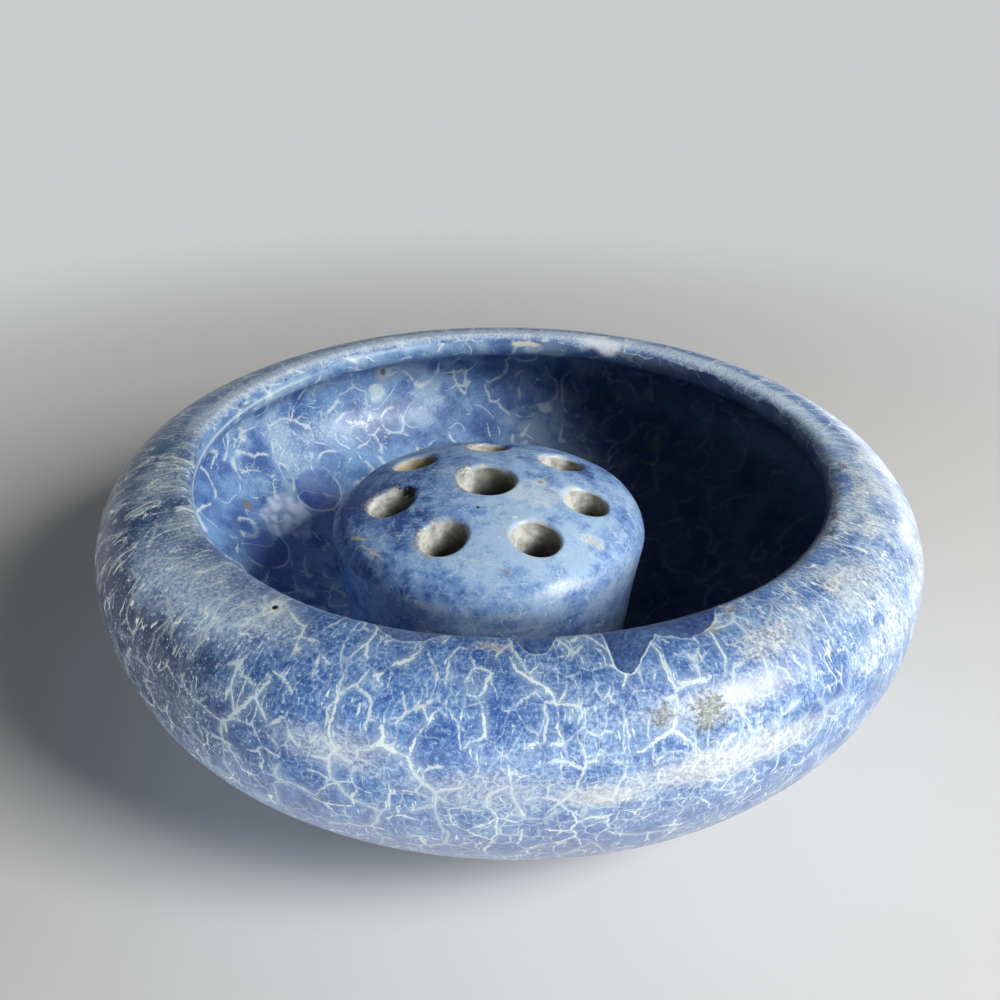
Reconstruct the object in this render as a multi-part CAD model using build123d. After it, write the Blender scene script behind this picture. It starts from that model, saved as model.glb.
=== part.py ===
from build123d import *
import math
import os

# Low round flower bowl with an inturned rolled lip, and the loose domed flower frog that stands in it.
# Millimetres, +Z up, origin under the middle of the bowl's foot ring.

# Bowl, outside
belly_radius = 120.0
belly_height = 53.4
bowl_height = 76.0
crest_radius = 96.1
lip_radius = 4.45
shoulder_fullness = 0.61
lower_fullness = 0.68

# Bowl, foot ring
foot_radius = 68.0
foot_height = 3.0
foot_ring_width = 8.0
foot_recess_depth = 3.0
foot_edge_round = 1.0
foot_flare_angle = 24.0
foot_flare_length = 22.0

# Bowl, inside
wall_thickness = 9.0
floor_height = 9.0
floor_margin = 2.7
floor_sweep_length = 22.0
basin_fullness = 0.5

# Flower frog
frog_offset_x = -6.1
frog_base_radius = 43.2
frog_corner_radius = 48.8
frog_height = 55.4
frog_dome_radius = 111.6
frog_shoulder_round = 9.2
frog_base_round = 1.0
frog_base_ring_width = 4.2
frog_recess_depth = 3.0

# Stem holes of the flower frog
centre_hole_diameter = 17.2
ring_hole_diameter = 13.6
ring_hole_count = 7
ring_hole_margin = 12.1
ring_turn_angle = -62.5
hole_mouth_round = 1.5


def bowl_section():
    """Half section of the bowl in the XZ plane, from the middle of the floor round to the foot recess."""
    inner_radius = belly_radius - wall_thickness
    lip_underside = bowl_height - 2 * lip_radius
    shoulder_width = belly_radius - crest_radius
    shoulder_rise = bowl_height - belly_height
    undercut_width = inner_radius - crest_radius
    undercut_rise = lip_underside - belly_height
    basin_depth = belly_height - floor_height
    floor_radius = frog_base_radius + abs(frog_offset_x) + floor_margin
    flare = math.radians(foot_flare_angle)
    foot_inner_radius = foot_radius - foot_ring_width

    with BuildSketch() as section:
        with BuildLine():
            Line((0, floor_height), (floor_radius, floor_height))
            Bezier(
                (floor_radius, floor_height),
                (floor_radius + floor_sweep_length, floor_height),
                (inner_radius, belly_height - basin_fullness * basin_depth),
                (inner_radius, belly_height),
            )
            Bezier(
                (inner_radius, belly_height),
                (inner_radius, belly_height + shoulder_fullness * undercut_rise),
                (crest_radius + shoulder_fullness * undercut_width, lip_underside),
                (crest_radius, lip_underside),
            )
            ThreePointArc(
                (crest_radius, lip_underside),
                (crest_radius - lip_radius, bowl_height - lip_radius),
                (crest_radius, bowl_height),
            )
            Bezier(
                (crest_radius, bowl_height),
                (crest_radius + shoulder_fullness * shoulder_width, bowl_height),
                (belly_radius, belly_height + shoulder_fullness * shoulder_rise),
                (belly_radius, belly_height),
            )
            Bezier(
                (belly_radius, belly_height),
                (belly_radius, belly_height - lower_fullness * belly_height),
                (
                    foot_radius + foot_flare_length * math.cos(flare),
                    foot_height + foot_flare_length * math.sin(flare),
                ),
                (foot_radius, foot_height),
            )
            Polyline(
                (foot_radius, foot_height),
                (foot_radius, 0),
                (foot_inner_radius, 0),
                (foot_inner_radius, foot_recess_depth),
                (0, foot_recess_depth),
                (0, floor_height),
            )
        make_face()
        foot_corners = section.vertices().sort_by(Axis.Y)[:2]
        fillet(foot_corners, foot_edge_round)
    return Plane.XZ * section.sketch


def bowl():
    """The bowl: its half section turned about the vertical axis."""
    return revolve(bowl_section(), axis=Axis.Z)


def frog_section():
    """Half section of the frog on its own axis: dished base, tapered side, rounded shoulder, low dome."""
    dome_centre = frog_height - frog_dome_radius
    corner_height = dome_centre + math.sqrt(frog_dome_radius**2 - frog_corner_radius**2)
    half_radius = frog_corner_radius / 2
    half_height = dome_centre + math.sqrt(frog_dome_radius**2 - half_radius**2)
    recess_radius = frog_base_radius - frog_base_ring_width

    with BuildSketch() as section:
        with BuildLine():
            Polyline(
                (0, frog_height),
                (0, frog_recess_depth),
                (recess_radius, frog_recess_depth),
                (recess_radius, 0),
                (frog_base_radius, 0),
                (frog_corner_radius, corner_height),
            )
            ThreePointArc(
                (frog_corner_radius, corner_height),
                (half_radius, half_height),
                (0, frog_height),
            )
        make_face()
        base_corners = section.vertices().sort_by(Axis.Y)[:2]
        fillet(base_corners, frog_base_round)
        shoulder_corner = section.vertices().sort_by(Axis.X)[-1]
        fillet(shoulder_corner, frog_shoulder_round)
    return Plane.XZ * section.sketch


def ring_hole_places():
    """Middle of each stem hole of the ring, evenly spaced and set in from the frog's side."""
    ring_radius = frog_corner_radius - ring_hole_margin - ring_hole_diameter / 2
    step = 2 * math.pi / ring_hole_count
    angles = [math.radians(ring_turn_angle) + step * index for index in range(ring_hole_count)]
    return [(ring_radius * math.cos(angle), ring_radius * math.sin(angle)) for angle in angles]


def stem_hole(diameter, place):
    """Cutter for one upright stem hole that goes right through the frog."""
    cutter = Cylinder(diameter / 2, 2 * frog_height)
    return Pos(place[0], place[1], frog_height / 2) * cutter


def flower_frog():
    """The frog with its stem holes and their rounded mouths, standing on the bowl's floor."""
    body = revolve(frog_section(), axis=Axis.Z)
    body -= stem_hole(centre_hole_diameter, (0, 0))
    for place in ring_hole_places():
        body -= stem_hole(ring_hole_diameter, place)
    mid_level = frog_height / 2
    hole_walls = body.faces().filter_by(GeomType.CYLINDER)
    wall_edges = [edge for wall in hole_walls for edge in wall.edges()]
    curved_edges = [edge for edge in wall_edges if edge.geom_type != GeomType.LINE]
    mouths = [edge for edge in curved_edges if edge.center().Z > mid_level]
    body = fillet(mouths, hole_mouth_round)
    return Pos(frog_offset_x, 0, floor_height) * body


os.makedirs("parts", exist_ok=True)
export_step(bowl(), "parts/bowl.step")
export_step(flower_frog(), "parts/flower_frog.step")
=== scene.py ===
import math

import bmesh
import bpy
import numpy as np
from mathutils import Matrix, Vector


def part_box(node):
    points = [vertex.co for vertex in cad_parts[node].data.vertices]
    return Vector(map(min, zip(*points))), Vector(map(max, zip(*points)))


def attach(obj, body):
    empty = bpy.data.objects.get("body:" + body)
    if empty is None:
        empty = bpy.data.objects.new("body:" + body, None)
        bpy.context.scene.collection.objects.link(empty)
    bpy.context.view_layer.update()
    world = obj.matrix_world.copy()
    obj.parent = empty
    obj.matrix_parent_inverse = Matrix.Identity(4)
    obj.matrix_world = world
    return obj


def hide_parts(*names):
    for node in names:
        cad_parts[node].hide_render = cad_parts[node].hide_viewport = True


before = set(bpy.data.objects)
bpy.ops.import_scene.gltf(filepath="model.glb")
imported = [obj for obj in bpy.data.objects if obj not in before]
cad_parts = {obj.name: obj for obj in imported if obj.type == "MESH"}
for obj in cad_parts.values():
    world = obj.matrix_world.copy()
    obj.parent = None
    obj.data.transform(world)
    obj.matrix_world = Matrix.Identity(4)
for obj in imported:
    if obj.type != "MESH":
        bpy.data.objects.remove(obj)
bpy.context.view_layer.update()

# Bowl: one thrown and turned piece of fired clay, glazed all over but for the foot ring it stands on and
# the recess within. The wall swells to a full belly, turns in over the shoulder and ends in a thick rolled
# lip that overhangs the inside. The blue glaze broke into white crackle as it ran down from the lip.
bowl_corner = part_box("bowl")[1]
belly_radius = bowl_corner.x
bowl_height = bowl_corner.z
belly_height = 0.0534
crest_radius = 0.0961
lip_radius = 0.00445
shoulder_fullness = 0.61
lower_fullness = 0.68
foot_radius = 0.068
foot_height = 0.003
foot_ring_width = 0.008
foot_recess_depth = 0.003
foot_edge_round = 0.001
foot_flare_angle = math.radians(24)
foot_flare_length = 0.022
wall_thickness = 0.009
floor_height = 0.009
floor_radius = 0.052
floor_sweep_length = 0.022
basin_fullness = 0.5
bowl_steps_around = 400
slow_wave_size = 0.09
slow_wave_depth = 0.00022
hand_mark_size = 0.028
hand_mark_depth = 0.00008
even_radius = 0.06
flow_radius = 0.1


def bezier(count, *corners):
    """Points along the cubic curve that starts at the first corner, leaves towards the second,
    arrives from the third and ends at the fourth."""
    t = np.linspace(0, 1, count)[:, None]
    a, b, c, d = (np.array(corner, float) for corner in corners)
    return (1 - t) ** 3 * a + 3 * (1 - t) ** 2 * t * b + 3 * (1 - t) * t**2 * c + t**3 * d


def arc(count, centre, radius, start, end):
    """Points on a circle about a centre, from one angle to another, in degrees."""
    angle = np.radians(np.linspace(start, end, count))
    return np.array(centre) + radius * np.stack([np.cos(angle), np.sin(angle)], axis=-1)


def straight(count, start, end):
    """Evenly spaced points from start to end."""
    return np.linspace(start, end, count)


def chain(*stretches):
    """Joins stretches of a section end to end, leaving out each repeated first point."""
    return np.concatenate([stretches[0]] + [stretch[1:] for stretch in stretches[1:]])


def bowl_inside():
    """Half section from the middle of the floor up the basin wall and under the lip to its crest."""
    inner_radius = belly_radius - wall_thickness
    underside = bowl_height - 2 * lip_radius
    basin_depth = belly_height - floor_height
    return chain(
        straight(16, (0, floor_height), (floor_radius, floor_height)),
        bezier(
            52,
            (floor_radius, floor_height),
            (floor_radius + floor_sweep_length, floor_height),
            (inner_radius, belly_height - basin_fullness * basin_depth),
            (inner_radius, belly_height),
        ),
        bezier(
            20,
            (inner_radius, belly_height),
            (inner_radius, belly_height + shoulder_fullness * (underside - belly_height)),
            (crest_radius + shoulder_fullness * (inner_radius - crest_radius), underside),
            (crest_radius, underside),
        ),
        arc(24, (crest_radius, bowl_height - lip_radius), lip_radius, 270, 90),
    )


def bowl_outside():
    """Half section from the lip's crest over the shoulder and belly, round the foot to the middle of its
    recess."""
    shoulder_width = belly_radius - crest_radius
    shoulder_rise = bowl_height - belly_height
    foot_inner = foot_radius - foot_ring_width
    edge = foot_edge_round
    return chain(
        bezier(
            40,
            (crest_radius, bowl_height),
            (crest_radius + shoulder_fullness * shoulder_width, bowl_height),
            (belly_radius, belly_height + shoulder_fullness * shoulder_rise),
            (belly_radius, belly_height),
        ),
        bezier(
            58,
            (belly_radius, belly_height),
            (belly_radius, belly_height - lower_fullness * belly_height),
            (
                foot_radius + foot_flare_length * math.cos(foot_flare_angle),
                foot_height + foot_flare_length * math.sin(foot_flare_angle),
            ),
            (foot_radius, foot_height),
        ),
        arc(6, (foot_radius - edge, edge), edge, 0, -90),
        arc(6, (foot_inner + edge, edge), edge, -90, -180),
        straight(3, (foot_inner, edge), (foot_inner, foot_recess_depth)),
        straight(10, (foot_inner, foot_recess_depth), (0, foot_recess_depth)),
    )


def lumps(points, wavelength, seed):
    """Smooth unevenness between about -1 and 1: a sum of waves in random directions through the clay,
    each near the given wavelength."""
    random = np.random.default_rng(seed)
    waves = 20
    direction = random.normal(size=(waves, 3))
    direction /= np.linalg.norm(direction, axis=1)[:, None]
    number = 2 * math.pi / (wavelength * random.uniform(0.7, 1.6, waves))
    phase = random.uniform(0, 2 * math.pi, waves)
    return np.cos(points @ (direction * number[:, None]).T + phase).sum(1) / math.sqrt(waves)


def turned_grid(section, steps):
    """The section carried round the vertical axis, one row of the grid for each of its points, and the
    angles of the grid's columns."""
    angle = np.arange(steps) * 2 * math.pi / steps
    radius, height = section[:, :1], section[:, 1:]
    shape = (len(section), steps)
    x = radius * np.cos(angle)
    y = radius * np.sin(angle)
    return np.stack([x, y, np.broadcast_to(height, shape)], axis=-1), angle


def grid_faces(rows, columns, first=0):
    """Corner numbers of the quads between neighbouring rows of a grid that closes round its columns."""
    number = first + np.arange(rows * columns).reshape(rows, columns)
    following = np.roll(number, -1, axis=1)
    quads = np.stack([number[:-1], following[:-1], following[1:], number[1:]], axis=-1)
    return quads.reshape(-1, 4)


def new_piece(name, points, faces, layer_name, numbers):
    """A mesh object of these points and faces, with a vector kept for each point, which the material
    reads. Doubles are merged, faces point outwards and shading is smooth."""
    mesh = bpy.data.meshes.new(name)
    mesh.from_pydata(points.tolist(), [], faces.tolist())
    layer = mesh.attributes.new(layer_name, "FLOAT_VECTOR", "POINT")
    layer.data.foreach_set("vector", np.asarray(numbers, np.float32).ravel())
    shell = bmesh.new()
    shell.from_mesh(mesh)
    bmesh.ops.remove_doubles(shell, verts=shell.verts, dist=1e-6)
    bmesh.ops.dissolve_degenerate(shell, edges=shell.edges, dist=1e-7)
    bmesh.ops.recalc_face_normals(shell, faces=shell.faces)
    shell.to_mesh(mesh)
    shell.free()
    mesh.shade_smooth()
    piece = bpy.data.objects.new(name, mesh)
    bpy.context.scene.collection.objects.link(piece)
    return piece


inside, outside = bowl_inside(), bowl_outside()
bowl_section = chain(inside, outside)
bowl_grid, bowl_angle = turned_grid(bowl_section, bowl_steps_around)
bowl_points = bowl_grid.reshape(-1, 3)
slow_waves = slow_wave_depth * lumps(bowl_points, slow_wave_size, 1)
hand_marks = hand_mark_depth * lumps(bowl_points, hand_mark_size, 2)
uneven = slow_waves + hand_marks
lift = np.clip(bowl_points[:, 2] / belly_height, 0, 1) * (np.hypot(*bowl_points.T[:2]) > even_radius)
outward = np.stack([np.cos(bowl_angle), np.sin(bowl_angle), 0 * bowl_angle], axis=-1)
bowl_points = bowl_points + np.tile(outward, (len(bowl_section), 1)) * (uneven * lift)[:, None]


def bowl_flow():
    """Each corner's place on the glaze: round the bowl on a circle of one radius, and along the wall from
    the lip's crest, outwards and down as positive and inwards as negative."""
    steps = np.linalg.norm(np.diff(bowl_section, axis=0), axis=1)
    along = np.concatenate([[0], np.cumsum(steps)])
    along -= along[len(inside) - 1]
    circle = np.tile(flow_radius * outward, (len(bowl_section), 1))
    circle[:, 2] = np.repeat(along, bowl_steps_around)
    return circle


bowl_faces = grid_faces(len(bowl_section), bowl_steps_around)
bowl = new_piece("bowl_piece", bowl_points, bowl_faces, "flow", bowl_flow())


class Paint:
    """One socket of a material's nodes. Sums, products and powers of paints add Math nodes."""

    def __init__(self, socket):
        self.socket = socket

    def node(self, kind, settings, inputs, output=0):
        """Adds any node: sets its settings, then gives its sockets their values or links."""
        tree = self.socket.id_data
        made = tree.nodes.new(kind)
        for name, setting in settings.items():
            setattr(made, name, setting)
        for name, value in inputs.items():
            if isinstance(value, Paint):
                tree.links.new(value.socket, made.inputs[name])
            else:
                made.inputs[name].default_value = value
        return Paint(made.outputs[output])

    def math(self, operation, first, second=0.0):
        return self.node("ShaderNodeMath", {"operation": operation}, {0: first, 1: second})

    def __add__(self, other):
        return self.math("ADD", self, other)

    def __radd__(self, other):
        return self.math("ADD", other, self)

    def __sub__(self, other):
        return self.math("SUBTRACT", self, other)

    def __rsub__(self, other):
        return self.math("SUBTRACT", other, self)

    def __mul__(self, other):
        return self.math("MULTIPLY", self, other)

    def __rmul__(self, other):
        return self.math("MULTIPLY", other, self)

    def __pow__(self, other):
        return self.math("POWER", self, other)

    def most(self, other):
        return self.math("MAXIMUM", self, other)

    def least(self, other):
        return self.math("MINIMUM", self, other)

    def smooth(self, low, high):
        """0 up to low, 1 from high on, with a smooth step between; low may be the larger."""
        inputs = {0: self, 1: low, 2: high}
        return self.node("ShaderNodeMapRange", {"interpolation_type": "SMOOTHSTEP"}, inputs)

    def mix(self, low, high):
        """A colour that goes from low to high as this paint goes from 0 to 1."""
        inputs = {0: self, 6: low, 7: high}
        return self.node("ShaderNodeMix", {"data_type": "RGBA"}, inputs, 2)

    def vector(self, operation, other, socket=1, output=0):
        return self.node("ShaderNodeVectorMath", {"operation": operation}, {0: self, socket: other}, output)

    def noise(self, size, detail=2.0, roughness=0.5):
        """Cloudy noise from 0 to 1 over this place, with blotches of about that size."""
        inputs = {"Vector": self, "Scale": 1 / size, "Detail": detail, "Roughness": roughness}
        return self.node("ShaderNodeTexNoise", {}, inputs)

    def wander(self, size, amount, detail=1.0):
        """This place shifted by up to about half of amount, in a noise of that size."""
        inputs = {"Vector": self, "Scale": 1 / size, "Detail": detail}
        shift = self.node("ShaderNodeTexNoise", {}, inputs, 1).vector("SUBTRACT", (0.5, 0.5, 0.5))
        return self.vector("ADD", shift.vector("SCALE", amount, "Scale"))

    def cell_walls(self, size, flat=False):
        """Distance in metres to the nearest wall between cells of about that size, in space or on a flat
        chart."""
        inputs = {"Vector": self, "Scale": 1 / size, "Randomness": 0.85}
        settings = {"feature": "DISTANCE_TO_EDGE", "voronoi_dimensions": "2D" if flat else "3D"}
        return self.node("ShaderNodeTexVoronoi", settings, inputs) * size

    def contour(self, level, width):
        """1 along the lines where this noise crosses a level, and 0 where it differs from the level by
        width or more."""
        return self.math("ABSOLUTE", self - level).smooth(width, 0.4 * width)

    def part(self, axis):
        """This place's x, y or z."""
        return self.node("ShaderNodeSeparateXYZ", {}, {0: self}, "xyz".index(axis))

    def stretch(self, x, y, z):
        return self.vector("MULTIPLY", (x, y, z))

    def shift(self, x, y, z):
        return self.vector("ADD", (x, y, z))

    def away(self, centre, *half_sizes):
        """Distance from a centre, counted in half sizes along x, y and z, so it is 1 on the edge of that
        oval."""
        scaled = self.vector("SUBTRACT", centre).vector("DIVIDE", half_sizes)
        return self.node("ShaderNodeVectorMath", {"operation": "LENGTH"}, {0: scaled}, 1)

    def stroke(self, start, end, width):
        """1 along a tapered stroke from start to end, given from above, and 0 beside it."""
        middle = [(first + last) / 2 for first, last in zip(start, end)]
        half = math.dist(start, end) / 2
        turn = math.atan2(end[1] - start[1], end[0] - start[0])
        inputs = {"Vector": self, "Location": middle, "Rotation": (0, 0, turn)}
        local = self.node("ShaderNodeMapping", {"vector_type": "TEXTURE"}, inputs)
        return local.away((0, 0, 0), half, width / 2, half).smooth(1.15, 0.7)


def srgb(red, green, blue):
    """A colour written as it looks on a screen, 0 to 255, as a material's own numbers."""
    parts = [part / 255 for part in (red, green, blue)]
    return [p / 12.92 if p <= 0.04045 else ((p + 0.055) / 1.055) ** 2.4 for p in parts] + [1.0]


def start_material(name):
    """A new material: its shader node, and its object coordinates as a first paint."""
    material = bpy.data.materials.new(name)
    material.use_nodes = True
    tree = material.node_tree
    shader = tree.nodes["Principled BSDF"]
    place = Paint(tree.nodes.new("ShaderNodeTexCoord").outputs["Object"])
    return material, shader, place


def crackle(walls, presence, width, cut):
    """White crackle strokes up to width wide along the walls of cells, given the distance from those walls.
    They taper away where the presence noise falls under cut."""
    swell = ((presence - cut) * 9.0).least(1.0) * (0.5 * width)
    return (walls - swell).smooth(0.00014, -0.00009) * presence.smooth(cut - 0.03, cut + 0.03)


def round_cells(place, size):
    """Distance from the walls of cells that fill the clay's space, bent by slow noise."""
    return place.wander(0.9 * size, 0.3 * size, 0.0).cell_walls(size)


def wall_cells(flow, size):
    """Distance from the walls of cells laid on the outside as on a flat chart that joins at the back: round
    the bowl, and down from the lip, where the cells are longer above the belly than under it."""
    bent = flow.wander(0.8 * size, 0.45 * size, 0.0)
    turn = bent.math("ARCTAN2", bent.part("x"), 0 - bent.part("y")) * (1.08 * flow_radius)
    down = bent.part("z") * 0.6 + (bent.part("z") - 0.03).most(0.0) * 0.4
    chart = flow.node("ShaderNodeCombineXYZ", {}, {0: turn, 1: down + 0.37 * size})
    return chart.cell_walls(size, True)


def on_glaze(degrees, along):
    """The place on the glaze at an angle round the bowl and a distance along the wall from the lip's
    crest."""
    turn = math.radians(degrees)
    return flow_radius * math.cos(turn), flow_radius * math.sin(turn), along


def ovals(place, *spots):
    """Distance from the nearest of several ovals on the glaze, 1 on their edges. A spot is its angle round
    the bowl, its place along the wall, half its width round the bowl and half its height along the wall."""
    nearest = None
    for degrees, along, half_width, half_height in spots:
        oval = place.away(on_glaze(degrees, along), half_width, half_width, half_height)
        nearest = oval if nearest is None else nearest.least(oval)
    return nearest


def join_glaze(material, shader, colour, rough, height, strength):
    """Joins a glaze's colour, roughness and shallow bump to its shader, with the gloss of glass."""
    inputs = {"Strength": strength, "Distance": 0.0005, "Height": height}
    bump = height.node("ShaderNodeBump", {}, inputs)
    for name, paint in (("Base Color", colour), ("Roughness", rough), ("Normal", bump)):
        material.node_tree.links.new(paint.socket, shader.inputs[name])
    shader.inputs["IOR"].default_value = 1.5


def bowl_glaze():
    """Mottled blue satin glaze with white crackle that runs down from the lip outside, arcs and rings of
    pale crackle inside, paler cloudy patches, the inner glaze lapping over the lip, and a bare foot."""
    deep = srgb(55, 89, 150)
    middle = srgb(104, 145, 198)
    pale = srgb(175, 195, 209)
    wash = srgb(222, 224, 215)
    white = srgb(228, 241, 233)
    lilac_and_reflection = srgb(150, 158, 182)
    ash = srgb(198, 203, 203)
    shade_slate = srgb(26, 41, 72)
    chalk_grey = srgb(164, 166, 160)
    sand_dark = srgb(88, 88, 72)
    sand_light = srgb(168, 170, 158)
    sage = srgb(78, 92, 84)
    pool = srgb(40, 58, 114)
    pit = srgb(32, 34, 40)
    inside_deep = srgb(61, 93, 154)
    inside_middle = srgb(122, 162, 206)
    painted_shade_navy = srgb(26, 38, 78)
    ring_blue = srgb(66, 88, 166)
    ring_edge = srgb(206, 218, 222)
    puff_white = srgb(212, 228, 246)
    pale_and_highlight_ice = srgb(220, 236, 248)
    snow = srgb(234, 242, 246)
    cream = srgb(222, 216, 196)
    tan = srgb(158, 134, 100)
    stone = srgb(132, 128, 116)
    brown = srgb(92, 80, 68)
    clay = srgb(188, 170, 142)
    material, shader, place = start_material("bowl_glaze")

    # Places on the glaze: plain, frayed as crack edges are, and bent further for patches
    flow = place.node("ShaderNodeAttribute", {"attribute_name": "flow"}, {}, 1)
    along = flow.part("z")
    round_lip = flow.stretch(1, 1, 0)
    fray = flow.wander(0.0036, 0.0017, 1.0).vector("SUBTRACT", flow)
    frayed = flow.vector("ADD", fray)
    walls = place.vector("ADD", fray)
    patchy = frayed.wander(0.012, 0.012, 1.0)
    ragged = frayed.wander(0.005, 0.004, 1.0)
    torn = ragged.wander(0.0022, 0.0032, 1.0)

    # Noises that the glaze's parts share
    dust = flow.noise(0.0009, 3.0, 0.8)
    grain = dust.smooth(0.36, 0.64)
    mottle = flow.noise(0.008, 4.0, 0.68)
    broad = flow.noise(0.045, 1.0)
    breaks = frayed.stretch(1, 1, 0.7).shift(0.3, 0.1, 0.7).noise(0.0075, 1.0)
    fine_breaks = frayed.shift(0.7, 0.4, 0.2).noise(0.0055, 1.0)
    streaks = frayed.stretch(1, 1, 0.13).noise(0.0007, 1.0, 0.6)
    patches = flow.shift(0.5, 0.2, 0.9).noise(0.013, 2.0).smooth(0.42, 0.56)
    rough_edge = (dust - 0.5) * 0.0025

    # Where the outside is hazy, shaded in paint, washed out or brushed; the belly band is partly painted
    # sheen
    # The pale band low on the front belly is partly a pale wash of glaze and partly painted sheen.
    belly_wash_and_sheen = ovals(ragged, (-65, 0.0335, 0.029, 0.0058), (-80, 0.0365, 0.012, 0.0042)).smooth(1.0, 0.35)
    drift = ovals(ragged, (-66, 0.0205, 0.024, 0.0056)).smooth(1.0, 0.2)
    left_side = ovals(patchy, (-155, 0.024, 0.092, 0.062)).smooth(1.0, 0.4)
    right_side = ovals(patchy, (-24, 0.014, 0.066, 0.032)).smooth(1.0, 0.3)
    right_front = ovals(flow, (-28, 0.014, 0.07, 0.055)).smooth(1.0, 0.5)
    bright_shoulder = ovals(patchy, (-136, 0.009, 0.034, 0.014)).smooth(1.0, 0.3)
    # Painted shade: the left of the outside is darkened towards slate, less at the bright shoulder.
    left_painted_shade = left_side * (1 - 0.75 * bright_shoulder)
    grey_band = ovals(ragged, (-91, 0.0345, 0.021, 0.0062), (-107, 0.029, 0.014, 0.0062)).smooth(1.15, 0.3)
    bundles = ovals(
        patchy,
        (-165, 0.002, 0.016, 0.009),
        (-150, 0.0, 0.014, 0.008),
        (-141, 0.010, 0.016, 0.009),
        (-122, 0.006, 0.018, 0.009),
    ).smooth(1.1, 0.2)
    pools = ovals(
        ragged,
        (-39.8, 0.0006, 0.008, 0.0033),
        (-50.4, 0.0024, 0.0085, 0.003),
        (-46.1, 0.0074, 0.008, 0.0022),
        (-12.9, -0.0002, 0.01, 0.003),
        (-26.8, 0.0042, 0.009, 0.0024),
        (-49.7, 0.0204, 0.01, 0.005),
    ).smooth(1.15, 0.5)
    low = along.smooth(0.037, 0.046)
    lowest = along.smooth(0.045, 0.062)
    haze = (broad * 0.55 + mottle * 0.6 - 0.08).smooth(0.42, 0.7)
    haze = (haze * (1 - 0.85 * left_side) * (1 - 0.4 * low)).most(right_side * (0.1 + 0.8 * patches))
    haze = haze.most(grey_band * 0.55)
    veil = (right_side * (0.3 + 0.7 * patches)).most(left_side * fine_breaks.smooth(0.4, 0.64) * 0.45)
    veil = veil.most(bundles * 0.5)

    # White lines outside: wide veins, branches, threads, hairs, brushed strokes and fine runs
    vein_walls = wall_cells(frayed, 0.0115) + rough_edge
    veins = crackle(vein_walls, breaks, 0.00056, 0.47)
    veins = veins * (1 - 0.85 * right_front) * (1 - 0.7 * left_side)
    veins = veins * (1 - 0.5 * along.smooth(0.024, 0.042))
    branches = crackle(wall_cells(frayed, 0.007) + rough_edge, fine_breaks - 0.05 * low, 0.00042, 0.46)
    branches = branches * (0.8 - 0.35 * right_front - 0.35 * left_side + 0.3 * low).least(1.0)
    threads = crackle(wall_cells(frayed, 0.0038), 1 - breaks, 0.0002, 0.42)
    threads = threads * (0.25 + 0.5 * haze + 0.3 * low - 0.25 * left_side)
    hairs = frayed.stretch(1, 1, 0.4).shift(0.2, 0.6, 0.4).noise(0.0021, 1.0).contour(0.5, 0.03)
    hairs = hairs * mottle.smooth(0.46, 0.6) * (0.35 + 0.4 * right_front - 0.2 * left_side)
    brushed = frayed.stretch(1, 1, 0.3).shift(0.9, 0.3, 0.1).noise(0.0046, 2.0)
    feather = brushed.contour(0.5, 0.07) * left_side * along.smooth(0.024, 0.008)
    strokes = brushed.contour(0.5, 0.017).most(feather * (0.1 + 0.5 * grain))
    strokes = strokes * (left_side * (1 - 0.5 * along.smooth(0.02, 0.034))).most(right_front)
    strokes = strokes * (fine_breaks + 0.1 * bundles - along).smooth(0.45, 0.55)
    runs = (streaks + veil * 0.2).smooth(0.645, 0.725)
    runs = runs * (0.9 - 0.65 * left_side - 0.4 * right_front) * (0.25 + 0.75 * mottle.smooth(0.42, 0.58))
    flecks = (dust + 0.05 * left_side).smooth(0.67, 0.72) * 0.7
    lines = veins.most(branches).most(threads).most(hairs.most(strokes)).most(runs).most(flecks)

    # Blue body under the lines, with mist along the veins
    tone = mottle * 1.1 + dust * 1.9 - 1.0
    mist = vein_walls.smooth(0.0024, 0.0) * breaks.smooth(0.44, 0.56) * (1 - 0.6 * left_side)
    body = tone.smooth(0.2, 0.75).mix(deep, middle)
    # Painted shade on the left of the outside, towards slate.
    body = (left_painted_shade * (0.55 + 0.4 * along.smooth(0.005, 0.024)) * (1.5 - dust)).mix(body, shade_slate)
    body = (bundles.most(bright_shoulder) * (0.3 + 0.6 * grain)).mix(body, pale)
    body = (mist * (0.15 + 0.4 * dust)).most(haze * (0.15 + 0.6 * grain)).mix(body, pale)
    body = (dust.smooth(0.56, 0.68) * (0.5 - 0.3 * left_painted_shade)).mix(body, pale)
    # Lilac low on the wall: partly the glaze's own paler colour, partly a painted reflection from below.
    body = (low * (0.3 - 0.3 * left_side) + lowest * (0.35 - 0.3 * left_side)).mix(body, lilac_and_reflection)
    body = (pools * (0.5 + 0.4 * (1 - dust))).mix(body, tone.smooth(0.2, 0.9).mix(deep, middle))

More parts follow.
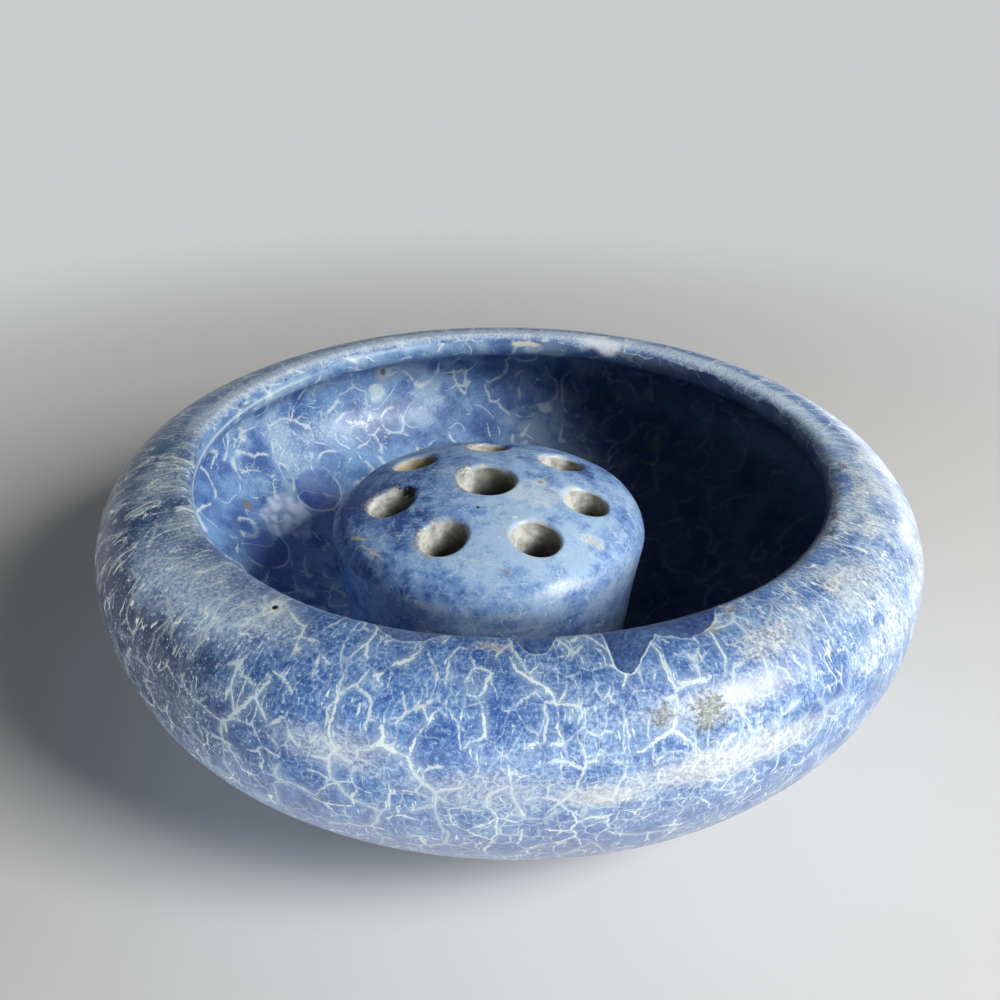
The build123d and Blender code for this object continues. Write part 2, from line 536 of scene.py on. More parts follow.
    # Lines, washes, chalky and sandy patches and two pits on the body
    skin = (lines * (0.7 + 0.3 * grain)).mix(body, white)
    # The belly band's wash is partly painted sheen; the drift is a pale wash.
    skin = (belly_wash_and_sheen.most(drift * 0.6) * (0.35 + 0.4 * grain)).mix(skin, wash)
    skin = (right_side * (0.1 + 0.65 * patches) * (1 - 0.8 * pools) * (0.15 + 0.55 * grain)).mix(skin, wash)
    skin = (grey_band * (0.12 + 0.36 * grain)).mix(skin, ash)
    chalky = ovals(
        torn,
        (-57.7, 0.0118, 0.0105, 0.0055),
        (-42.2, 0.0082, 0.0065, 0.0024),
        (-6.8, 0.0015, 0.006, 0.002),
        (-92.0, 0.0018, 0.0062, 0.0022),
    ).smooth(1.1, 0.3)
    skin = (chalky * (0.3 + 0.45 * grain)).mix(skin, dust.smooth(0.42, 0.6).mix(chalk_grey, wash))
    sandy = ovals(
        torn,
        (-68.5, 0.022, 0.0034, 0.0044),
        (-73.6, 0.0205, 0.0026, 0.0022),
        (-63.9, 0.0034, 0.003, 0.0026),
        (-58.5, 0.001, 0.003, 0.0015),
    )
    sandy = (sandy + (dust - 0.5) * 4.0).smooth(1.3, 0.5)
    skin = (sandy * 0.72).mix(skin, dust.smooth(0.36, 0.62).mix(sand_dark, sand_light))
    chip = ovals(flow, (-121.8, 0.0028, 0.0008, 0.0008))
    skin = (chip.smooth(5.0, 1.5) * (0.3 + 0.6 * grain)).mix(skin, white)
    skin = chip.smooth(1.1, 0.7).mix(skin, pit)
    skin = ovals(flow, (-166.7, 0.0141, 0.0007, 0.0007)).smooth(1.1, 0.6).mix(skin, pit)

    # Edge of the inner glaze on the lip: three shallow laps, and a drip with straight sides and a round tip
    drip_turn = math.radians(-75.7)
    drip_x, drip_y = math.cos(drip_turn), math.sin(drip_turn)
    beside = flow.vector("DOT_PRODUCT", (-drip_y, drip_x, 0), 1, 1)
    facing = flow.vector("DOT_PRODUCT", (drip_x, drip_y, 0), 1, 1)
    beyond = frayed.part("z") + rough_edge * 0.5 + (fine_breaks - 0.5) * 0.0016
    tip_radius = 0.0024
    tip = flow.node("ShaderNodeCombineXYZ", {}, {0: beside, 1: beyond, 2: facing - flow_radius})
    tip = (tip.away((-0.0006, 0.0083, 0), tip_radius, tip_radius, tip_radius) - 1) * tip_radius
    drip = (-0.003 - beside).most(beyond + 1.1 * beside - 0.01121)
    drip = drip.most(beyond - 0.3865 * beside - 0.00946).most(0 - facing).least(tip)
    laps = 0.0048 - 0.004 * ovals(round_lip, (-66.2, 0, 0.0088, 1)) ** 2.5
    laps = laps.most(0.0036 - 0.005 * ovals(round_lip, (-86.2, 0, 0.0046, 1)) ** 3.0)
    laps = laps.most(0.0022 - 0.004 * ovals(round_lip, (-103, 0, 0.0085, 1)) ** 2.0)
    in_drip = (beyond - laps).least(drip).smooth(0.0002, -0.0004)
    inner_edge = (round_lip.noise(0.016, 2.0) - 0.5) * 0.006 - 0.0042
    past_edge = (beyond - inner_edge.most(laps)).least(drip)
    inner = past_edge.smooth(0.0003, -0.0003)
    outline = past_edge.smooth(-0.0002, 0.0001) * past_edge.smooth(0.0005, 0.00015)
    lapped = (laps.smooth(-0.002, 0.0) * 0.45).most(drip.smooth(0.0015, 0.0008))
    lapped = lapped * (0.55 + 0.45 * fine_breaks.smooth(0.4, 0.52))
    outline = outline * (breaks.smooth(0.5, 0.6) * 0.6).most(lapped)

    # Inside: cloudy blue with painted shade to the right, with arcs, hooks and wisps of crackle
    wall = place.noise(0.012, 3.0, 0.62)
    bubble = walls.wander(0.02, 0.012, 0.0)
    bubble_inputs = {"Vector": bubble, "Scale": 52.0}
    bubble = bubble.node("ShaderNodeTexVoronoi", {"feature": "F1"}, bubble_inputs) * 0.0192
    arcs = bubble.math("ABSOLUTE", bubble - 0.0085)
    inside_breaks = walls.shift(0.2, 0.2, 0.2).noise(0.009, 1.0)
    arcs = (arcs + rough_edge - 0.0003).smooth(0.0005, -0.0002) * inside_breaks.smooth(0.45, 0.55)
    hooks = walls.noise(0.012, 0.0).contour(0.5, 0.011) * inside_breaks.smooth(0.5, 0.58)
    hooks = hooks.most(crackle(round_cells(walls, 0.014) + rough_edge, 1 - inside_breaks, 0.0007, 0.55))
    # Painted shade: the inside's right side darkens towards navy.
    shade_side = place.part("x").smooth(-0.04, 0.05) * (0.85 + 0.15 * along.smooth(-0.01, -0.05))
    inside_body = (wall + grain * 0.1 - 0.04).smooth(0.26, 0.68).mix(inside_deep, inside_middle)
    cloudy = (1 - broad).smooth(0.4, 0.6) * wall.smooth(0.4, 0.65) * (0.4 + 0.35 * grain)
    inside_body = cloudy.mix(inside_body, pale)
    inside_body = (shade_side * 0.82).mix(inside_body, painted_shade_navy)
    left_wall = walls.away((-0.075, 0.075, 0.045), 0.06, 0.06, 0.035).smooth(1.1, 0.3)
    band = walls.away((-0.062, 0.088, 0.042), 0.06, 0.05, 0.011).smooth(1.1, 0.2)
    chalk = (dust + 0.06 * band).smooth(0.56, 0.68) * left_wall.most(band) * wall.smooth(0.4, 0.56)
    inside_body = (band * (0.05 + 0.4 * grain * wall)).mix(inside_body, pale)
    wisps = walls.shift(0.6, 0.3, 0.8).noise(0.006, 2.0).contour(0.48, 0.014)
    wisps = wisps * inside_breaks.smooth(0.52, 0.44) * (0.2 + 0.5 * left_wall)
    # Crackle marks fade under the painted shade on the right.
    marks = arcs.most(hooks).most(wisps).most(chalk * 0.6) * (0.68 - 0.58 * shade_side)
    inside_skin = marks.mix(inside_body, white)

    # Single marks inside: a puffy patch, two ringed pools, a stain, a notch, rusty lines and the dark lap
    cloud = walls.wander(0.006, 0.007).away((-0.0802, 0.0432, 0.0239), 0.0105, 0.0105, 0.0085)
    puffs = walls.node("ShaderNodeTexVoronoi", {"feature": "SMOOTH_F1"}, {"Vector": walls, "Scale": 330.0})
    puffs = cloud.smooth(1.1, 0.85) * (0.3 + 0.7 * puffs.smooth(0.7, 0.2))
    inside_skin = puffs.mix(inside_skin, puff_white)
    rounds = place.vector("ADD", fray.stretch(0.4, 0.4, 0.4))
    rise = place.part("z")
    for spot, size in (((-0.0845, 0.0253, 0.0212), 0.0088), ((-0.0718, 0.0601, 0.0258), 0.0092)):
        ring = rounds.away(spot, size, size, size)
        inside_skin = (ring.smooth(1.0, 0.9) * 0.5).mix(inside_skin, ring_blue)
        edge = ring.smooth(0.93, 0.98) * ring.smooth(1.07, 1.01)
        edge = edge * (rise - spot[2]).smooth(0.003, -0.001) * breaks.smooth(0.34, 0.48)
        inside_skin = (edge * 0.8).mix(inside_skin, ring_edge)
    stain = rounds.away((-0.0926, 0.038, 0.0316), 0.0018, 0.0018, 0.0034).smooth(1.1, 0.8)
    inside_skin = (stain * (0.6 + 0.3 * grain)).mix(inside_skin, stone)
    notch = walls.away((-0.0502, 0.0982, 0.0581), 0.0013, 0.0013, 0.002)
    inside_skin = (notch.smooth(3.5, 1.0) * 0.5).mix(inside_skin, cream)
    inside_skin = (notch.smooth(1.2, 0.7) * 0.8).mix(inside_skin, brown)
    rusty = walls.away((0.045, 0.09, 0.033), 0.028, 0.022, 0.02).smooth(1.0, 0.3)
    rusty = rusty * hooks.most(wall.smooth(0.54, 0.64) * 0.7)
    inside_skin = (rusty * 0.7).mix(inside_skin, tan)
    shallow = along.smooth(-0.0045, -0.0015)
    inside_skin = (in_drip * shallow * 0.75).mix(inside_skin, tone.smooth(0.2, 1.2).mix(pool, middle))

    # Both skins joined at the lip, with its edge partly worn and partly painted highlight, a pale crest
    # partly painted highlight, few marks, and the bare foot
    colour = inner.mix(skin, inside_skin)
    colour = (outline * 0.75).mix(colour, white)
    # A thin white line on the lip's inner edge at the left: partly wear, partly a painted highlight.
    lip_wear_and_highlight = along.smooth(-0.0072, -0.0066) * along.smooth(-0.0056, -0.0062)
    lip_wear_and_highlight = lip_wear_and_highlight * place.part("x").smooth(-0.06, -0.08)
    colour = (lip_wear_and_highlight * (0.35 + 0.4 * fine_breaks)).mix(colour, white)
    # Pale crest at the back of the lip: partly a pale break of the glaze, partly a painted highlight.
    crest = shallow * along.smooth(0.005, 0.001) * place.part("y").smooth(-0.02, 0.03)
    colour = (crest * (0.42 + 0.5 * grain)).mix(colour, pale_and_highlight_ice)
    splotch = ovals(patchy, (68.5, -0.002, 0.0115, 0.0065)).smooth(1.05, 0.55)
    colour = (splotch * (0.75 + 0.25 * grain)).mix(colour, snow)
    streak = ovals(frayed, (86.7, -0.0056, 0.0065, 0.0011)).smooth(1.1, 0.7)
    colour = (streak * 0.8).mix(colour, cream)
    mossy = ovals(
        torn,
        (-24.3, -0.0024, 0.003, 0.0012),
        (-29.6, -0.0006, 0.0034, 0.0012),
        (-7.4, 0.0, 0.003, 0.001),
    )
    mossy = (mossy + (dust - 0.5) * 4.0).smooth(1.1, 0.6)
    colour = (mossy * 0.75).mix(colour, sage)
    foot = along.smooth(0.1165, 0.117)
    colour = foot.mix(colour, clay)
    rough = 0.3 + 0.18 * grain + 0.1 * lines + 0.3 * sandy + 0.35 * foot
    join_glaze(material, shader, colour, rough, flow.noise(0.005, 2.0, 0.6), 0.3)
    return material


bowl.data.materials.append(bowl_glaze())
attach(bowl, "bowl")
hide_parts("bowl")

# Flower frog: a thick domed stem holder of the same clay and glaze, thrown solid and pierced by hand with
# one wide stem hole in the middle and seven round it. The holes and the dished base are bare clay, and the
# frog only stands on the bowl's floor, a little off its middle.
frog_low, frog_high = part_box("flower_frog")
frog_middle = np.array([(frog_low.x + frog_high.x) / 2, (frog_low.y + frog_high.y) / 2])
frog_height = 0.0554
frog_base_radius = 0.0432
frog_corner_radius = 0.0488
frog_dome_radius = 0.1116
frog_shoulder_round = 0.0092
frog_base_round = 0.001
frog_recess_radius = 0.039
frog_recess_depth = 0.003
ring_radius = 0.0299
ring_count = 7
ring_turn = math.radians(-62.5)
ring_hole_radius = 0.0068
centre_hole_radius = 0.0086
mouth_round = 0.0015
rays_each_hole = 112
steady_height = 0.02
sway_size = 0.035
sway_depth = 0.0004
pick_size = 0.006
pick_depth = 0.00022
wall_foot = 0.004
dome_wave_size = 0.03
dome_wave_depth = 0.0002
middle_shift = 0.0009
shift_reach = 0.019
shift_fade = 0.007


def dome_height(radius):
    """Height of the dome over the frog's base at a distance from its axis: part of a large sphere."""
    return frog_height - frog_dome_radius + np.sqrt(frog_dome_radius**2 - radius**2)


def frog_side():
    """Half section from the dome's outer edge round the shoulder, down the tapered side, round the base
    ring and up into the dished base. The shoulder's circle touches the dome's circle from inside and the
    side's line."""
    foot = np.array([frog_base_radius, 0.0])
    corner = np.array([frog_corner_radius, dome_height(frog_corner_radius)])
    upward = (corner - foot) / np.linalg.norm(corner - foot)
    inward = np.array([-upward[1], upward[0]])
    dome_middle = np.array([0, frog_height - frog_dome_radius])
    start = foot + frog_shoulder_round * inward - dome_middle
    reach = frog_dome_radius - frog_shoulder_round
    half = start @ upward
    middle = dome_middle + start + upward * (-half + math.sqrt(half**2 - start @ start + reach**2))
    from_dome = middle - dome_middle
    top = math.degrees(math.atan2(from_dome[1], from_dome[0]))
    out = math.degrees(math.atan2(-inward[1], -inward[0]))
    dome_end = dome_middle[0] + frog_dome_radius * math.cos(math.radians(top))
    rim = np.linspace(frog_recess_radius, dome_end, 4)
    shoulder = arc(18, middle, frog_shoulder_round, top, out)
    edge = frog_base_round
    return chain(
        np.stack([rim, dome_height(rim)], axis=-1),
        shoulder,
        straight(26, shoulder[-1], foot + upward * edge),
        bezier(6, foot + upward * edge, foot, foot, foot - np.array([edge, 0])),
        straight(3, foot - np.array([edge, 0]), (frog_recess_radius + edge, 0)),
        arc(5, (frog_recess_radius + edge, edge), edge, -90, -180),
        straight(3, (frog_recess_radius, edge), (frog_recess_radius, frog_recess_depth)),
    )


def cell_edge(site, sites, angle):
    """How far rays from a hole's site run until they are as near to another site, or reach the dish's
    rim."""
    ray = np.stack([np.cos(angle), np.sin(angle)], axis=-1)
    along = ray @ site
    to_rim = -along + np.sqrt(along**2 - site @ site + frog_recess_radius**2)
    edges = [to_rim]
    for other in sites:
        across = other - site
        if across @ across > 0:
            toward = ray @ across
            distance = (across @ across) / (2 * np.maximum(toward, 1e-9))
            edges.append(np.where(toward > 1e-6, distance, np.inf))
    return np.min(edges, axis=0)


def ray_angles(heading):
    """Angles of a hole's rays, the same to both sides of its heading, with one through each corner that
    its part of the dome shares with its neighbours."""
    turn = math.pi / ring_count
    corner = np.array([math.cos(turn), math.sin(turn)]) * frog_recess_radius - np.array([ring_radius, 0])
    rim_corner = math.atan2(corner[1], corner[0])
    even = np.arange(rays_each_hole) * 2 * math.pi / rays_each_hole
    apart = np.abs((even[:, None] - np.array([rim_corner, 2 * math.pi - rim_corner])[None]))
    even[apart[:, 0].argmin()] = rim_corner
    even[apart[:, 1].argmin()] = 2 * math.pi - rim_corner
    return heading + even


def stem_hole(site, sites, heading, radius):
    """One hole's share of the frog: its part of the dome, the rounded mouth, the upright wall and its part
    of the dished base, as rows of points that close round the hole."""
    angle = ray_angles(heading)
    edge = cell_edge(site, sites, angle)
    ray = np.stack([np.cos(angle), np.sin(angle)], axis=-1)
    rows = []

    def row(reach, drop, base):
        spot = site + ray * np.broadcast_to(reach, angle.shape)[:, None]
        height = dome_height(np.hypot(spot[:, 0], spot[:, 1])) - drop if base is None else base
        rows.append(np.column_stack([spot, np.broadcast_to(height, angle.shape)]))
        return rows[-1][:, 2]

    for share in np.linspace(0, 1, 14)[:-1]:
        row(edge + (radius + mouth_round - edge) * share, 0.0, None)
    for turn in np.linspace(0, math.pi / 2, 9):
        top = row(radius + mouth_round * (1 - math.sin(turn)), mouth_round * (1 - math.cos(turn)), None)
    for share in np.linspace(0, 1, 20)[1:]:
        row(radius, 0.0, top + (frog_recess_depth - top) * share)
    for share in np.linspace(0, 1, 6)[1:]:
        row(radius + (edge - radius) * share, 0.0, frog_recess_depth)
    return np.array(rows)


def frog_mesh():
    """All the holes' shares joined with the outer side into one closed skin."""
    heading = ring_turn + np.arange(ring_count) * 2 * math.pi / ring_count
    ring = ring_radius * np.stack([np.cos(heading), np.sin(heading)], axis=-1)
    sites = np.concatenate([np.zeros((1, 2)), ring])
    points, faces, count = [], [], 0
    for index, site in enumerate(sites):
        facing = ring_turn if index == 0 else heading[index - 1]
        radius = centre_hole_radius if index == 0 else ring_hole_radius
        rows = stem_hole(site, sites, facing, radius)
        points.append(rows.reshape(-1, 3))
        faces.append(grid_faces(len(rows), rows.shape[1], count))
        count += rows.shape[0] * rows.shape[1]
    rim = np.concatenate([block[:rays_each_hole] for block in points[1:]])
    rim = rim[np.hypot(rim[:, 0], rim[:, 1]) > frog_recess_radius - 1e-7]
    turn = np.sort(np.unique(np.round(np.arctan2(rim[:, 1], rim[:, 0]), 7)))
    side = frog_side()
    x = side[:, :1] * np.cos(turn)
    y = side[:, :1] * np.sin(turn)
    shell = np.stack([x, y, np.broadcast_to(side[:, 1:], x.shape)], axis=-1)
    points.append(shell.reshape(-1, 3))
    faces.append(grid_faces(len(side), len(turn), count))
    return np.concatenate(points), np.concatenate(faces), sites


frog_points, frog_faces, hole_sites = frog_mesh()
hole_radii = np.array([centre_hole_radius] + [ring_hole_radius] * ring_count)
to_holes = np.linalg.norm(frog_points[:, None, :2] - hole_sites[None], axis=-1) - hole_radii
frog_mouth = to_holes.min(1)
frog_depth = dome_height(np.hypot(frog_points[:, 0], frog_points[:, 1])) - frog_points[:, 2]
nearest = to_holes.argmin(1)
hole_side = (frog_points[:, 0] - hole_sites[nearest, 0]) / hole_radii[nearest]
frog_numbers = np.stack([frog_mouth, frog_depth, np.clip(hole_side, -1, 1)], axis=-1)

# Unevenness of hand work: swaying sides, picked hole walls, the middle hole a little left, a wavy dome
standing = np.clip((frog_points[:, 2] - frog_recess_depth) / steady_height, 0, 1)[:, None]
in_hole = (frog_depth > mouth_round) & (frog_mouth < 1e-5) & (frog_points[:, 2] > wall_foot)
in_hole = in_hole[:, None]
sway = np.stack([lumps(frog_points, sway_size, seed) for seed in (11, 12)], axis=-1)
pick = np.stack([lumps(frog_points, pick_size, seed) for seed in (13, 14)], axis=-1)
from_axis = np.hypot(frog_points[:, 0], frog_points[:, 1])
near_middle = np.clip((shift_reach - from_axis) / shift_fade, 0, 1)
near_middle = near_middle**2 * (3 - 2 * near_middle)
frog_points[:, :2] += standing * (sway_depth * sway) + in_hole * (pick_depth * pick)
frog_points[:, 0] -= middle_shift * near_middle
frog_points[:, 2] += (standing[:, 0] > 0.9) * dome_wave_depth * lumps(frog_points, dome_wave_size, 15)
frog_points = frog_points + np.array([frog_middle[0], frog_middle[1], floor_height])
frog = new_piece("flower_frog_piece", frog_points, frog_faces, "holes", frog_numbers)


def frog_glaze():
    """The bowl's glaze in a softer, cloudier coat with little crackle, darker on the shoulder, with pale
    breaks round the mouths of the holes, and bare gritty clay inside them and under the base."""
    deep = srgb(62, 92, 154)
    middle = srgb(119, 159, 215)
    light = srgb(177, 208, 240)
    frost = srgb(204, 224, 242)
    white = srgb(226, 238, 243)
    milk = srgb(200, 212, 218)
    shade_dusk = srgb(46, 70, 122)
    cream = srgb(222, 214, 192)
    tan = srgb(170, 148, 112)
    umber = srgb(124, 104, 72)
    clay = srgb(228, 228, 220)
    grey_clay = srgb(132, 130, 120)
    dull_clay = srgb(118, 116, 106)
    gold = srgb(204, 172, 112)
    hole_shade_colour = srgb(30, 33, 34)
    soot = srgb(28, 28, 28)
    material, shader, place = start_material("frog_glaze")

    # Distance from the nearest hole's wall, depth under the dome, and side of that hole
    numbers = place.node("ShaderNodeAttribute", {"attribute_name": "holes"}, {}, 1)
    mouth, depth, side = numbers.part("x"), numbers.part("y"), numbers.part("z")

    # Frayed places, noises, and streaks that follow the wheel round the frog's axis
    fray = place.wander(0.0036, 0.0017, 1.0)
    torn = fray.wander(0.003, 0.003, 1.0)
    dust = place.noise(0.0009, 3.0, 0.8)
    grain = dust.smooth(0.36, 0.64)
    cloud = place.wander(0.02, 0.015).noise(0.014, 3.0, 0.65)
    ragged = place.noise(0.004, 3.0, 0.6)
    mottle = fray.noise(0.0045, 5.0, 0.72)
    across = fray.vector("SUBTRACT", (frog_middle[0], frog_middle[1], 0)).stretch(1, 1, 0)
    axis_gap = across.node("ShaderNodeVectorMath", {"operation": "LENGTH"}, {0: across}, 1)
    wheel = across.node("ShaderNodeVectorMath", {"operation": "NORMALIZE"}, {0: across})
    bands = place.node("ShaderNodeCombineXYZ", {}, {2: axis_gap - place.part("z")})
    wheel = wheel.stretch(0.006, 0.006, 0).vector("ADD", bands)
    washes = wheel.noise(0.0032, 3.0, 0.65)

    # Cloudy blue coat, with painted light in front, painted shade at the left and low on the side, darker
    # beside two holes
    # Painted light: the front of the dome is brighter.
    front_painted_light = fray.away((0.006, -0.02, 0.056), 0.04, 0.036, 0.03).smooth(1.2, 0.1)
    # Painted shade at the left of the dome, with two darker patches of glaze beside two holes.
    left_shade_and_dark_patches = fray.away((-0.04, -0.004, 0.054), 0.032, 0.04, 0.03)
    left_shade_and_dark_patches = left_shade_and_dark_patches.least(fray.away((0.0065, 0.0175, 0.0624), 0.007, 0.007, 0.02) + 0.2)
    left_shade_and_dark_patches = left_shade_and_dark_patches.least(fray.away((0.034, -0.0113, 0.0563), 0.006, 0.013, 0.02) + 0.2).smooth(1.1, 0.2)
    splash = fray.wander(0.008, 0.008).away((0.008, -0.008, 0.063), 0.013, 0.009, 0.02).smooth(1.2, 0.2)
    tone = cloud * 1.3 + mottle * 1.5 + washes * 0.4 + dust * 0.5 + front_painted_light * 0.2 - left_shade_and_dark_patches * 0.32 - 1.25
    colour = tone.smooth(0.16, 0.52).mix(deep, middle)
    colour = tone.smooth(0.4, 0.92).mix(colour, light)
    colour = ((splash + mottle - 0.5).smooth(0.3, 1.1) * (0.2 + 0.7 * dust)).mix(colour, white)
    # Frost, stronger under the painted light in front.
    frost_and_painted_light = (front_painted_light * 0.5 + 0.1) * cloud.smooth(0.4, 0.6) * dust.smooth(0.5, 0.66)
    colour = frost_and_painted_light.mix(colour, frost)
    shoulder = (axis_gap + (ragged - 0.5) * 0.006).smooth(0.0425, 0.0465)
    colour = (shoulder * 0.18).mix(colour, deep)
    # Painted shade: the frog's side darkens towards its base.
    low_painted_shade = (place.part("z") + (ragged - 0.5) * 0.02).smooth(0.05, 0.026)
    colour = (low_painted_shade * 0.4).mix(colour, shade_dusk)

    # White wisps and flecks, a painted highlight on the front shoulder, and single strokes of white, cream
    # and tan
    wisps = fray.noise(0.006, 3.0).contour(0.5, 0.016) * ragged.smooth(0.44, 0.56)
    wisps = wisps.most(wheel.noise(0.0016, 2.0).smooth(0.6, 0.72) * 0.3)
    colour = (wisps.most(dust.smooth(0.64, 0.72)) * 0.5).mix(colour, white)
    # A painted highlight streak along the front shoulder.
    streak = fray.away((0.0165, -0.0395, 0.0521), 0.02, 0.014, 0.0013).smooth(1.1, 0.3)
    colour = (streak * (0.15 + 0.35 * grain)).mix(colour, white)
    smear = torn.stroke((0.0195, -0.0226, 0.059), (0.0282, -0.026, 0.0558), 0.0055)
    colour = (smear * (0.25 + 0.65 * grain)).mix(colour, white)
    marks = torn.stroke((-0.0432, -0.0241, 0.0551), (-0.034, -0.0327, 0.0558), 0.0009)
    marks = marks.most(torn.stroke((-0.0455, -0.0203, 0.054), (-0.0405, -0.0236, 0.055), 0.0016))
    marks = marks.most(torn.stroke((0.0215, -0.0232, 0.058), (0.0262, -0.0258, 0.0568), 0.0013))
    colour = (marks * 0.8).mix(colour, cream)
    tick = torn.stroke((-0.0025, -0.0395, 0.0568), (0.0006, -0.0411, 0.0566), 0.0008)
    colour = (tick * 0.7).mix(colour, tan)

    # Milky, cream and stained edges of the holes, and three small specks on the dome
    halo = (mouth + (ragged - 0.5) * 0.009 + (dust - 0.5) * 0.006).smooth(0.0024, 0.0008)
    colour = (halo * 0.35 * side.smooth(0.8, -0.2)).mix(colour, milk)
    rim = (mouth + (ragged - 0.42) * 0.008 + (dust - 0.5) * 0.004).smooth(0.0009, 0.0003)
    colour = (rim * 0.75 * side.smooth(0.9, 0.1)).mix(colour, cream)
    stained = (mouth + (ragged - 0.5) * 0.006).smooth(0.0021, 0.0009) * side.smooth(-0.1, -0.7)
    stained = stained * place.part("x").smooth(0.004, -0.014) * dust.smooth(0.44, 0.54)
    colour = (stained * 0.7).mix(colour, umber)
    pit = fray.away((0.0094, -0.0001, 0.0633), 0.0011, 0.0011, 0.0011)
    colour = (pit.smooth(3.4, 1.2) * 0.6).mix(colour, white)
    colour = (pit.smooth(1.1, 0.8) * 0.8).mix(colour, tan)
    dark_dot = place.away((-0.009, -0.0158, 0.0632), 0.0006, 0.0006, 0.0006).smooth(1.1, 0.7)
    colour = dark_dot.mix(colour, soot)
    white_dot = fray.away((0.0018, -0.0197, 0.0624), 0.0009, 0.0009, 0.0009).smooth(1.1, 0.7)
    colour = white_dot.mix(colour, white)

    # Bare gritty clay in the holes and under the base, golden or dull in places, with painted shade deeper
    # down and on each hole's right side
    bare = (depth + (ragged - 0.5) * 0.0015).smooth(0.0008, 0.0014) * mouth.smooth(0.0012, 0.0006)
    under = (place.part("z") - floor_height).smooth(0.0034, 0.003) * axis_gap.smooth(0.0428, 0.0424)
    bare = bare.most(under)
    grit = place.noise(0.003, 3.0, 0.7)
    bare_colour = (grit * 0.8 + ragged * 0.4 - 0.1).smooth(0.22, 0.66).mix(grey_clay, clay)
    golden = place.away((-0.03, 0.0179, 0.056), 0.009, 0.009, 0.02).smooth(1.0, 0.8)
    golden = golden.most(place.away((-0.007, 0.0299, 0.056), 0.009, 0.009, 0.02).smooth(1.0, 0.8) * 0.5)
    bare_colour = (golden * (0.3 + 0.5 * grit)).mix(bare_colour, gold)
    dull = place.away((-0.0041, 0.009, 0.057), 0.0085, 0.0055, 0.012).smooth(1.1, 0.5)
    bare_colour = (dull * (0.45 + 0.5 * grit)).mix(bare_colour, dull_clay)
    # Painted shade: the hole walls darken with depth and towards each hole's right side.
    painted_hole_shade = (depth + side * 0.0065 + (ragged - 0.5) * 0.005).smooth(0.003, 0.0125) * (1 - under)
    bare_colour = (painted_hole_shade * 0.92).mix(bare_colour, hole_shade_colour)
    colour = bare.mix(colour, bare_colour)
    moss = place.away((-0.0292, -0.0022, 0.0608), 0.0036, 0.0036, 0.0034) + (dust - 0.5) * 5.0
    moss = moss.smooth(1.0, 0.8) * mouth.smooth(0.0016, 0.0008)
    colour = moss.mix(colour, soot)
    rough = 0.27 + 0.16 * grain + 0.5 * bare
    join_glaze(material, shader, colour, rough, ragged * 0.3 + bare * grit * 0.9, 0.35)
    return material


frog.data.materials.append(frog_glaze())
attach(frog, "flower_frog")
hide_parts("flower_frog")

# Floor and light: a plain pale surface under one large soft lamp at the front right, with weaker low lamps
# in front, at the left and behind on the right, and a weak even fill. The left lamp leaves no sheen. Away
# from the bowl the floor fades to an even pale tone.
floor_half = 6.0
floor_tone = srgb(222, 221, 218)
far_tone = srgb(204, 205, 206)
fill_tone = (0.86, 0.93, 1.0, 1)
fill_strength = 0.05
floor_corners = floor_half * np.array([(-1, -1, 0), (1, -1, 0), (1, 1, 0), (-1, 1, 0)])
floor_mesh = bpy.data.meshes.new("floor")
floor_mesh.from_pydata(floor_corners.tolist(), [], [(0, 1, 2, 3)])
floor = bpy.data.objects.new("floor", floor_mesh)
bpy.context.scene.collection.objects.link(floor)


def floor_paint():
    """Matt pale floor, which eyes, mirrors and glass see as one even tone far from the bowl."""
    material, shader, place = start_material("floor")
    tree = material.node_tree
    shader.inputs["Base Color"].default_value = floor_tone
    shader.inputs["Roughness"].default_value = 0.85
    glow = place.node("ShaderNodeEmission", {}, {"Color": far_tone, "Strength": 1.0})
    path = tree.nodes.new("ShaderNodeLightPath")
    seen = Paint(path.outputs["Is Camera Ray"])
    seen = seen.most(Paint(path.outputs["Is Glossy Ray"])).most(Paint(path.outputs["Is Transmission Ray"]))
    far = place.away((0, 0, 0), 1, 1, 1).smooth(0.16, 0.6)
    both = place.node("ShaderNodeMixShader", {}, {0: far * seen, 1: Paint(shader.outputs[0]), 2: glow})
    tree.links.new(both.socket, tree.nodes["Material Output"].inputs["Surface"])
    return material


floor.data.materials.append(floor_paint())


def soft_lamp(name, place, target, width, height, power, sheen=True):
    """A rectangular lamp at a place, turned to shine at a target. Without sheen it leaves no highlight."""
    lamp = bpy.data.lights.new(name, "AREA")
    lamp.shape = "RECTANGLE"
    lamp.size = width
    lamp.size_y = height
    lamp.energy = power
    holder = bpy.data.objects.new(name, lamp)
    holder.visible_glossy = sheen
    bpy.context.scene.collection.objects.link(holder)
    aim = Vector(target) - Vector(place)
    holder.matrix_world = Matrix.Translation(place) @ aim.to_track_quat("-Z", "Y").to_matrix().to_4x4()


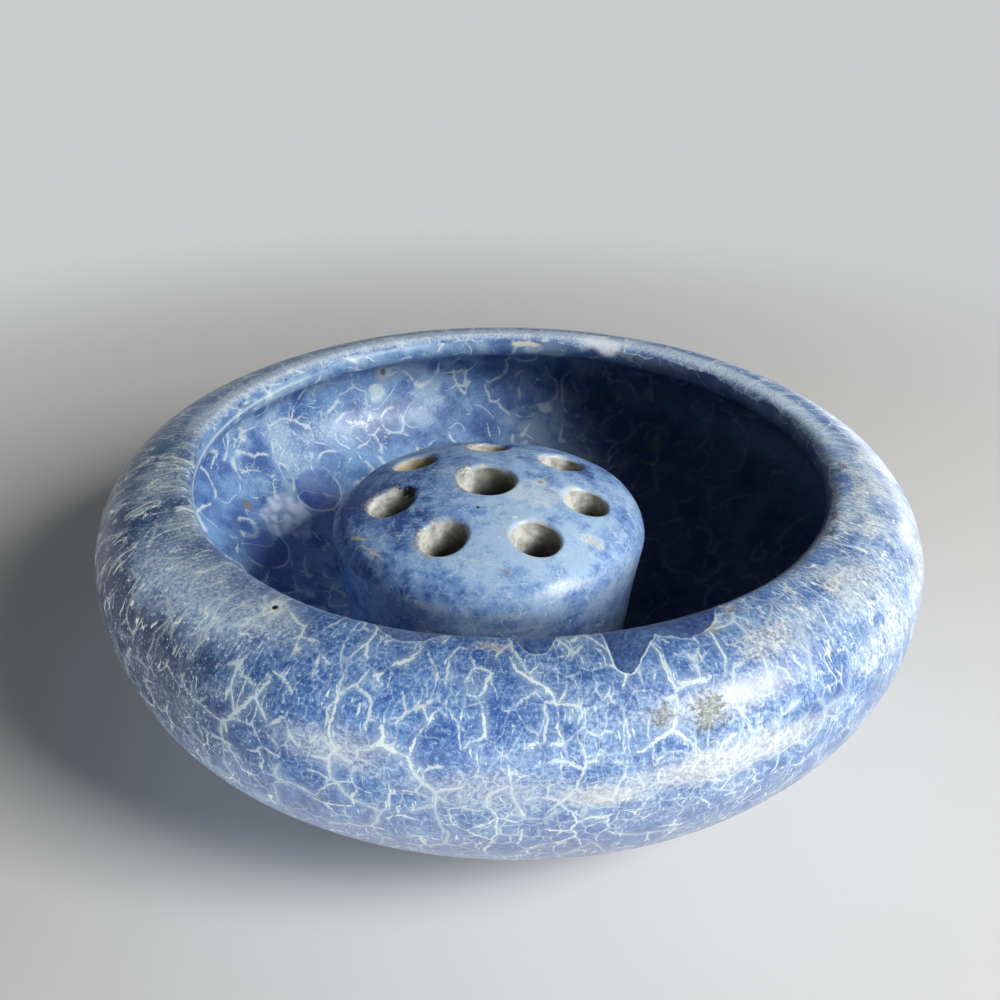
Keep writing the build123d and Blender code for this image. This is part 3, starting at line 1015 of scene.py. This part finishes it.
soft_lamp("key_lamp", (0.72, -0.43, 0.6), (0, 0, 0.04), 0.4, 0.4, 11.8)
soft_lamp("low_lamp", (0.1, -1.1, 0.1), (0, 0, 0.04), 0.7, 0.2, 3.4)
soft_lamp("side_lamp", (-1.0, -0.45, 0.055), (0, 0, 0.06), 0.5, 0.09, 6.2, False)
soft_lamp("back_lamp", (0.75, 0.8, 0.055), (0, 0, 0.05), 0.6, 0.09, 2.0)


def studio_world():
    """Weak even fill, which eyes see as the floor's far tone, and mirrors and glass too, near the
    horizon."""
    world = bpy.data.worlds.new("studio")
    world.use_nodes = True
    tree = world.node_tree
    fill = tree.nodes["Background"]
    fill.inputs["Color"].default_value = fill_tone
    fill.inputs["Strength"].default_value = fill_strength
    direction = Paint(tree.nodes.new("ShaderNodeTexCoord").outputs["Generated"])
    backdrop = direction.node("ShaderNodeBackground", {}, {"Color": far_tone, "Strength": 1.0})
    path = tree.nodes.new("ShaderNodeLightPath")
    mirrored = Paint(path.outputs["Is Glossy Ray"]).most(Paint(path.outputs["Is Transmission Ray"]))
    seen = Paint(path.outputs["Is Camera Ray"]).most(mirrored * direction.part("z").smooth(0.25, 0.1))
    both = direction.node("ShaderNodeMixShader", {}, {0: seen, 1: Paint(fill.outputs[0]), 2: backdrop})
    tree.links.new(both.socket, tree.nodes["World Output"].inputs["Surface"])
    return world


bpy.context.scene.world = studio_world()
bpy.context.scene.view_settings.view_transform = "Standard"

# Camera: the eye is in front of the bowl and well above its rim, and looks down into it. It is turned a
# little to the left and tilted by about half a degree.
camera_place = Vector((0, -0.26748, 0.2084))
camera_pitch = math.radians(29.549)
camera_pan = math.radians(-0.589)
camera_roll = math.radians(0.582)
forward = Vector(
    (
        math.sin(camera_pan) * math.cos(camera_pitch),
        math.cos(camera_pan) * math.cos(camera_pitch),
        -math.sin(camera_pitch),
    )
)
level = Vector((math.cos(camera_pan), -math.sin(camera_pan), 0))
upright = level.cross(forward)
right = math.cos(camera_roll) * level + math.sin(camera_roll) * upright
up = math.cos(camera_roll) * upright - math.sin(camera_roll) * level
camera = bpy.data.objects.new("camera", bpy.data.cameras.new("camera"))
camera.data.sensor_width = 36
camera.data.lens = 36
camera.data.clip_start = 0.01
bpy.context.scene.collection.objects.link(camera)
camera.matrix_world = Matrix.Translation(camera_place) @ Matrix((right, up, -forward)).transposed().to_4x4()
bpy.context.scene.camera = camera
